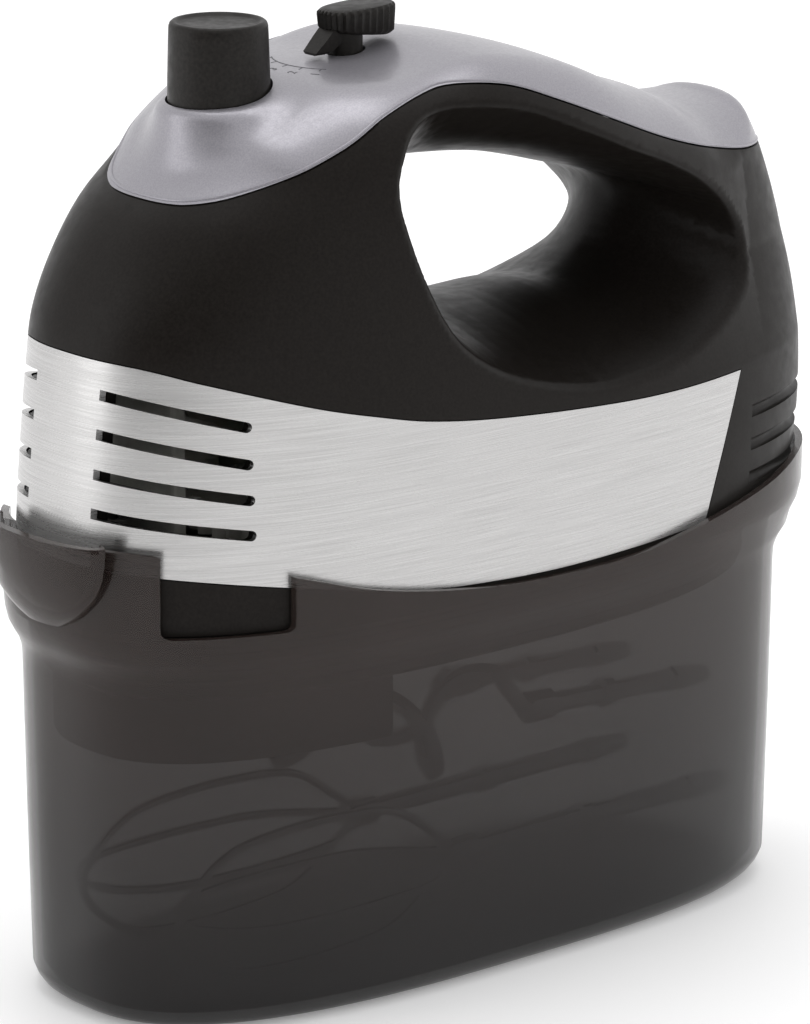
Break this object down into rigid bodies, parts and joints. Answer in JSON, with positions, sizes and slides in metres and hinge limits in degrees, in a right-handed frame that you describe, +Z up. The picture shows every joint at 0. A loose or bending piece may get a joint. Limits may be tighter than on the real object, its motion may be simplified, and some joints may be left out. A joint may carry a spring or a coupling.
{
  "type": "hand mixer",
  "caption": "Hand mixer with loop handle, steel vent band and silver top, standing on a smoked storage bin that holds its wire beaters and dough hooks.",
  "frame": {"origin": "centre of the storage bin's flat underside", "axes": "+Z up, +X towards the rear of the mixer, -X its nose, -Y the near side in the source view"},
  "size_m": [0.2352, 0.1012, 0.2334],
  "materials": {
    "smoked_plastic": "clear smoke-tinted moulding, polished",
    "black_plastic": "satin-gloss black moulding",
    "silver_paint": "silver painted plastic, satin",
    "brushed_steel": "brushed along its length",
    "white_nylon": "natural nylon",
    "spring_steel": "drawn wire",
    "machined_steel": "turned",
    "sintered_bronze": "plain",
    "lamination_iron": "stacked sheet",
    "copper_wire": "enamelled copper",
    "carbon": "pressed carbon",
    "circuit_board": "coated board",
    "gland_rubber": "soft matte",
    "chrome_wire": "bright plated"
  },
  "bodies": {
    "bin": {"storage_bin": "smoked_plastic", "beater_near": "chrome_wire", "beater_far": "chrome_wire", "dough_hook_near": "chrome_wire", "dough_hook_far": "chrome_wire"},
    "mixer": {"main_housing": "black_plastic", "top_cover": "silver_paint", "trim_band": "brushed_steel", "lower_housing": "black_plastic", "gearbox_frame": "white_nylon", "spindle_bush_left": "sintered_bronze", "spindle_bush_right": "sintered_bronze", "stator_stack": "lamination_iron", "field_coil_left": "copper_wire", "field_coil_right": "copper_wire", "front_bearing": "sintered_bronze", "rear_bearing": "sintered_bronze", "rear_bracket": "white_nylon", "brush_holder_left": "sintered_bronze", "brush_holder_right": "sintered_bronze", "brush_left": "carbon", "brush_right": "carbon", "speed_switch": "white_nylon", "control_board": "circuit_board", "filter_board": "circuit_board", "cord_gland": "gland_rubber", "screw_post_1": "black_plastic", "screw_post_2": "black_plastic", "screw_post_3": "black_plastic", "screw_post_4": "black_plastic"},
    "ejector": {"eject_knob": "black_plastic", "ejector_yoke": "white_nylon", "eject_spring": "spring_steel"},
    "lever": {"speed_lever": "black_plastic"},
    "rotor": {"motor_shaft": "machined_steel", "armature_core": "lamination_iron", "armature_winding": "copper_wire", "commutator": "copper_wire", "cooling_fan": "white_nylon"},
    "spindle_left": {"worm_wheel_left": "white_nylon", "drive_spindle_left": "machined_steel"},
    "spindle_right": {"worm_wheel_right": "white_nylon", "drive_spindle_right": "machined_steel"}
  },
  "joints": [
    {"name": "mixer_lift", "type": "slide", "parent": "bin", "child": "mixer", "axis": [0, 0, 1], "range_m": [0, 0.1]},
    {"name": "eject_press", "type": "slide", "parent": "mixer", "child": "ejector", "axis": [0, 0, -1], "range_m": [0, 0.006], "stiffness_N_per_m": 1500, "springref_m": -0.002, "deforming": ["eject_spring"]},
    {"name": "speed_select", "type": "hinge", "parent": "mixer", "child": "lever", "pos_m": [-0.018, 0, 0.215], "axis": [0, 0, 1], "range_deg": [-32, 32]},
    {"name": "armature_spin", "type": "hinge", "parent": "mixer", "child": "rotor", "pos_m": [0, 0, 0.122], "axis": [1, 0, 0], "continuous": true},
    {"name": "spindle_left_spin", "type": "hinge", "parent": "mixer", "child": "spindle_left", "pos_m": [-0.062, -0.021, 0.122], "axis": [0, 0, 1], "continuous": true},
    {"name": "spindle_right_spin", "type": "hinge", "parent": "mixer", "child": "spindle_right", "pos_m": [-0.062, 0.021, 0.122], "axis": [0, 0, 1], "continuous": true}
  ],
  "couplings": [
    {"joint": "spindle_left_spin", "follows": "armature_spin", "ratio": 0.045455},
    {"joint": "spindle_right_spin", "follows": "armature_spin", "ratio": -0.045455}
  ]
}
